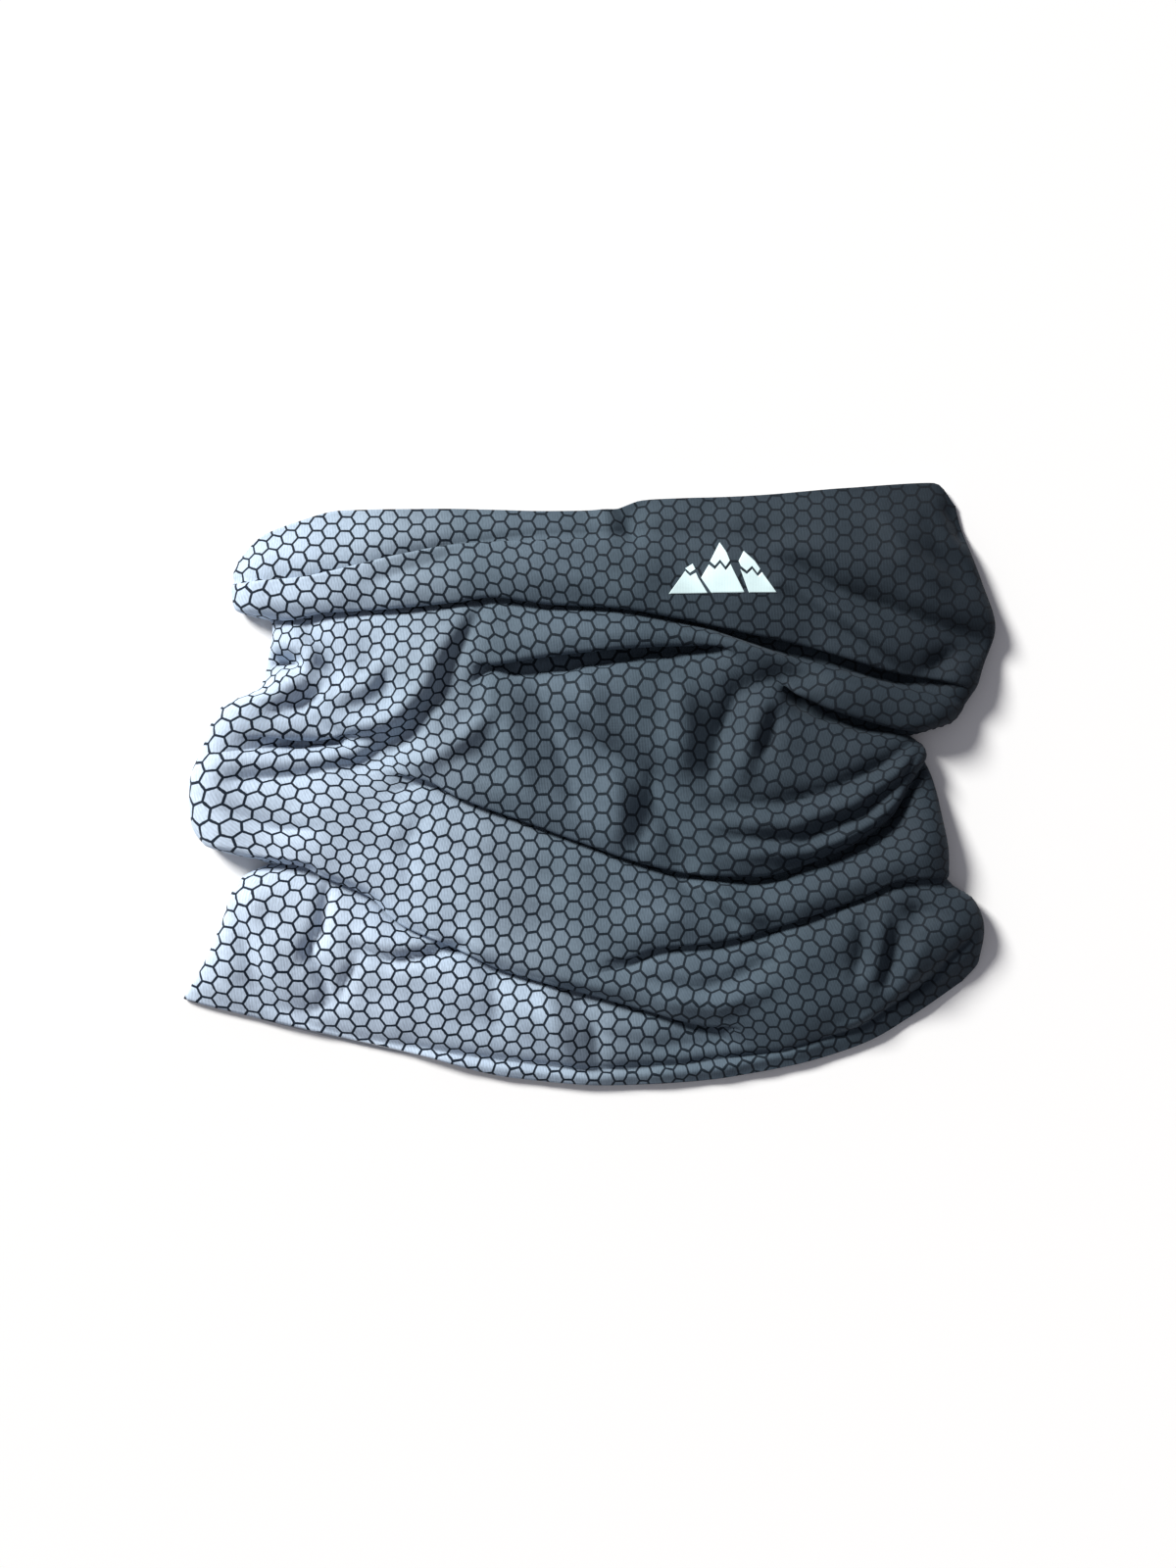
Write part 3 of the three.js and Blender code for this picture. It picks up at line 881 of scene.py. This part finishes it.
thread = threadMaterial()
outerStitches = seamOuterThreads(thread)
innerLoops = seamInnerThreads(thread)
print("gaiter: seam sewn")

label = {
    "width": 26,          # from the seam to the folded end
    "length": 30,         # along the seam
    "thickness": 0.16,
    "fromSeam": 0.6,      # from the seam's line to the cut ends
    "gap": 0.5,           # between the label's two layers
    "fromCloth": 0.35,
    "border": 1.3,        # woven border's distance from the selvedges
    "rib": 0.22,          # from one rib to the next, and from one weft line to the next
    "weft": 0.3,
    "nearColumns": 24,    # columns of the cloth beside the seam that the label may cover
    "ground": (0.80, 0.81, 0.82),
    "edging": (0.05, 0.08, 0.12),
}


# Satin label: fine ribs across it and a plain woven border line
def labelMaterial():
    material, shade, shader = newMaterial("woven_label", Roughness=0.42, Sheen_Weight=0.15,
                                          Specular_IOR_Level=0.5)
    u, v = clothPlace(shade)
    rib = (u * (2 * math.pi / label["rib"])).math("SINE") * 0.5 + 0.5
    weft = (v * (2 * math.pi / label["weft"])).math("SINE") * 0.5 + 0.5
    fromSide = label["length"] / 2 - (v - label["length"] / 2).math("ABSOLUTE")
    line = 1 - (fromSide - label["border"]).math("ABSOLUTE").ease(0.25, 0.4)
    slub = cloudy(shade, shade.make("ShaderNodeUVMap", {"uv_map": "cloth"}), 6.0, 2.0)
    tone = slub * 0.12 + weft * 0.05 + 0.86
    ground = shade.make("ShaderNodeCombineColor", None, {k: tone * label["ground"][k] for k in range(3)})
    feed(shader, "Base Color", line.mixColours(ground, label["edging"]))
    addBump(shade, shader, 0.4, 0.06, rib * 0.4 + weft)
    return material


# The label is folded double, with its cut ends at the seam, and lies along the back inside the tube
def careLabel():
    low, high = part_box("care_label")
    middle = (low.y + high.y) / 2 / mm
    panel = tube[:sum(panelRows[:2])]
    nearCount = label["nearColumns"]
    near = np.roll(panel[:, :-1], nearCount, axis=1)[:, nearCount::-1]
    start, reach, fold, rise = label["fromSeam"], label["width"], label["gap"] / 2, label["fromCloth"]
    section = [(d, rise) for d in np.linspace(start, reach, 15)]
    for a in math.pi * np.linspace(0.2, 1, 5):
        section.append((reach + fold * math.sin(a), rise + fold * (1 - math.cos(a))))
    section += [(d, rise + label["gap"]) for d in np.linspace(reach - 1, start, 14)]
    rows = []
    for y in np.linspace(middle + label["length"] / 2, middle - label["length"] / 2, 21):
        line = np.array([[np.interp(-y, -near[:, c, 1], near[:, c, k]) for k in range(3)]
                         for c in range(near.shape[1])])
        length = lengthAlong(line)
        row = []
        for d, lift in section:
            behind, ahead = (np.array([np.interp(e, length, line[:, k]) for k in range(3)])
                             for e in (d - 0.5, d + 0.5))
            way = ahead - behind
            inward = np.array([way[2], 0, -way[0]])
            inward *= np.sign(inward[2] + 1e-6) / np.linalg.norm(inward)
            row.append(blend(behind, ahead, 0.5) + inward * (lift + gaiter["clothThickness"] / 2))
        rows.append(row)
    rows = np.array(rows)
    u = lengthAlong(rows[len(rows) // 2])
    v = np.linspace(0, label["length"], len(rows))
    places = np.stack(np.broadcast_arrays(u[None, :], v[:, None]), axis=-1)
    piece = gridPiece("care_label_woven", rows, places, labelMaterial())
    wall = piece.modifiers.new("wall", "SOLIDIFY")
    wall.thickness, wall.offset = label["thickness"] * mm, 0
    return piece


careLabelPiece = careLabel()
print("gaiter: label sewn in")

emblem = {
    "tilt": 0.6,           # degrees
    "thickness": 0.14,
    "lift": 0.03,          # air between the film and the cloth
    "cuts": 13,            # in each edge of an outline's triangles, so that the film can follow the cloth
    "colour": (0.74, 0.93, 0.95),
}
# Outlines of the caps and flanks, in shares of the emblem's width and height from its middle
emblemFilms = {
    "emblem_left_peak": [
        [(-0.50, -0.50), (-0.14, -0.50), (-0.225, -0.20), (-0.245, -0.10), (-0.30, -0.16), (-0.345, -0.06),
         (-0.365, -0.12)],
        [(-0.345, -0.01), (-0.30, -0.10), (-0.25, -0.03), (-0.275, 0.08)],
    ],
    "emblem_main_peak": [
        [(-0.105, -0.50), (0.20, -0.50), (0.105, -0.08), (0.075, 0.06), (0.03, -0.06), (-0.02, 0.08),
         (-0.07, -0.04), (-0.125, 0.06), (-0.20, -0.20)],
        [(-0.115, 0.12), (-0.07, 0.03), (-0.02, 0.15), (0.03, 0.01), (0.07, 0.13), (0.04, 0.30),
         (-0.02, 0.50)],
    ],
    "emblem_right_peak": [
        [(0.24, -0.50), (0.50, -0.50), (0.365, -0.10), (0.325, -0.18), (0.275, -0.04), (0.225, -0.14),
         (0.165, -0.04)],
        [(0.17, 0.02), (0.225, -0.08), (0.275, 0.02), (0.325, -0.12), (0.35, -0.04), (0.30, 0.12),
         (0.20, 0.32), (0.15, 0.12)],
    ],
}


# Pressed film: satin, with the knit under it showing faintly
def filmMaterial():
    material, shade, shader = newMaterial("pressed_film", Roughness=0.38, Specular_IOR_Level=0.45)
    place = shade.make("ShaderNodeTexCoord", None, None, 3)
    x, y = (shade.make("ShaderNodeSeparateXYZ", None, {0: place}, k) * (1 / mm) for k in range(2))
    grain = cloudy(shade, place, 900.0, 2.0)
    dull = tuple(0.93 * c for c in emblem["colour"])
    feed(shader, "Base Color", grain.mixColours(dull, emblem["colour"]))
    addBump(shade, shader, 0.25, 0.08, knitHeight(x, y) + grain * 0.3)
    return material


# A film is pressed straight down on the cloth and follows its wrinkles; corners are those of the emblem's box
def emblemFilm(name, outlines, skin, corners, material):
    centre = (corners[0] + corners[1]) / 2
    size = corners[1] - corners[0]
    tilt = math.radians(emblem["tilt"])
    bm = bmesh.new()
    for outline in outlines:
        verts = [bm.verts.new((x * size.x, y * size.y, 0)) for x, y in outline]
        edges = [bm.edges.new((a, b)) for a, b in zip(verts, verts[1:] + verts[:1])]
        bmesh.ops.triangle_fill(bm, use_beauty=True, edges=edges)
    bmesh.ops.subdivide_edges(bm, edges=bm.edges, cuts=emblem["cuts"], use_grid_fill=True)
    bmesh.ops.rotate(bm, verts=bm.verts, cent=(0, 0, 0), matrix=Matrix.Rotation(tilt, 3, "Z"))
    bmesh.ops.translate(bm, verts=bm.verts, vec=(centre.x, centre.y, 0.1))
    for vert in bm.verts:
        hit, normal, _, _ = skin.ray_cast(vert.co, Vector((0, 0, -1)))
        vert.co = hit + normal * emblem["lift"] * mm
    bmesh.ops.recalc_face_normals(bm, faces=bm.faces)
    if sum(face.normal.z for face in bm.faces) < 0:
        bmesh.ops.reverse_faces(bm, faces=bm.faces)
    for face in bm.faces:
        face.smooth = True
    piece = meshPiece(name + "_film", bm, material)
    wall = piece.modifiers.new("wall", "SOLIDIFY")
    wall.thickness, wall.offset = emblem["thickness"] * mm, 1
    return piece


bpy.context.view_layer.update()
skin = BVHTree.FromObject(cloth, bpy.context.evaluated_depsgraph_get())
boxes = [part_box(name) for name in emblemFilms]
corners = [Vector([pick(box[k][i] for box in boxes) for i in range(3)])
           for k, pick in ((0, min), (1, max))]
film = filmMaterial()
films = {name: emblemFilm(name, outlines, skin, corners, film) for name, outlines in emblemFilms.items()}
print("gaiter: emblem pressed on")

scene.view_settings.view_transform = "Standard"

camera = {"height": 0.81, "lens": 60}  # metres above the table, and millimetres
cameraData = bpy.data.cameras.new("camera")
cameraData.lens = camera["lens"]
cameraObject = bpy.data.objects.new("camera", cameraData)
cameraObject.location = (0, 0, camera["height"])
scene.collection.objects.link(cameraObject)
scene.camera = cameraObject

table = {"reach": 3, "colour": (0.94, 0.94, 0.94, 1)}
tableMesh = bmesh.new()
bmesh.ops.create_grid(tableMesh, x_segments=1, y_segments=1, size=table["reach"])
tableMaterial, _, tableShader = newMaterial("floor")
tableShader.inputs["Base Color"].default_value = table["colour"]
floorPiece = meshPiece("floor", tableMesh, tableMaterial)

daylight = {
    "sky": (0.91, 0.905, 1, 1),
    "skyStrength": 0.24,
    "sun": (1, 0.99, 0.96),
    "sunStrength": 5.2,
    "softness": 17,                     # degrees that the sun spans
    "direction": (0.74, -0.67, -0.62),  # the way its light travels
}
world = bpy.data.worlds.new("world")
world.use_nodes = True
background = world.node_tree.nodes["Background"]
background.inputs["Color"].default_value = daylight["sky"]
background.inputs["Strength"].default_value = daylight["skyStrength"]
scene.world = world
sunData = bpy.data.lights.new("sun", "SUN")
sunData.angle = math.radians(daylight["softness"])
sunData.energy = daylight["sunStrength"]
sunData.color = daylight["sun"]
sun = bpy.data.objects.new("sun", sunData)
sun.rotation_euler = Vector(daylight["direction"]).to_track_quat("-Z", "Y").to_euler()
scene.collection.objects.link(sun)
print("gaiter: table and daylight set")

# Each piece, the CAD node that it replaces and its material slot
finished = [(cloth, "gaiter_tube", "printed_knit"), (outerStitches, "seam_outer_thread", "seam_thread"),
            (innerLoops, "seam_inner_thread", "seam_thread"), (careLabelPiece, "care_label", "woven_label")]
finished += [(piece, name, "pressed_film") for name, piece in films.items()]
for piece, node, slot in finished:
    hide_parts(node)
    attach(piece, "root")
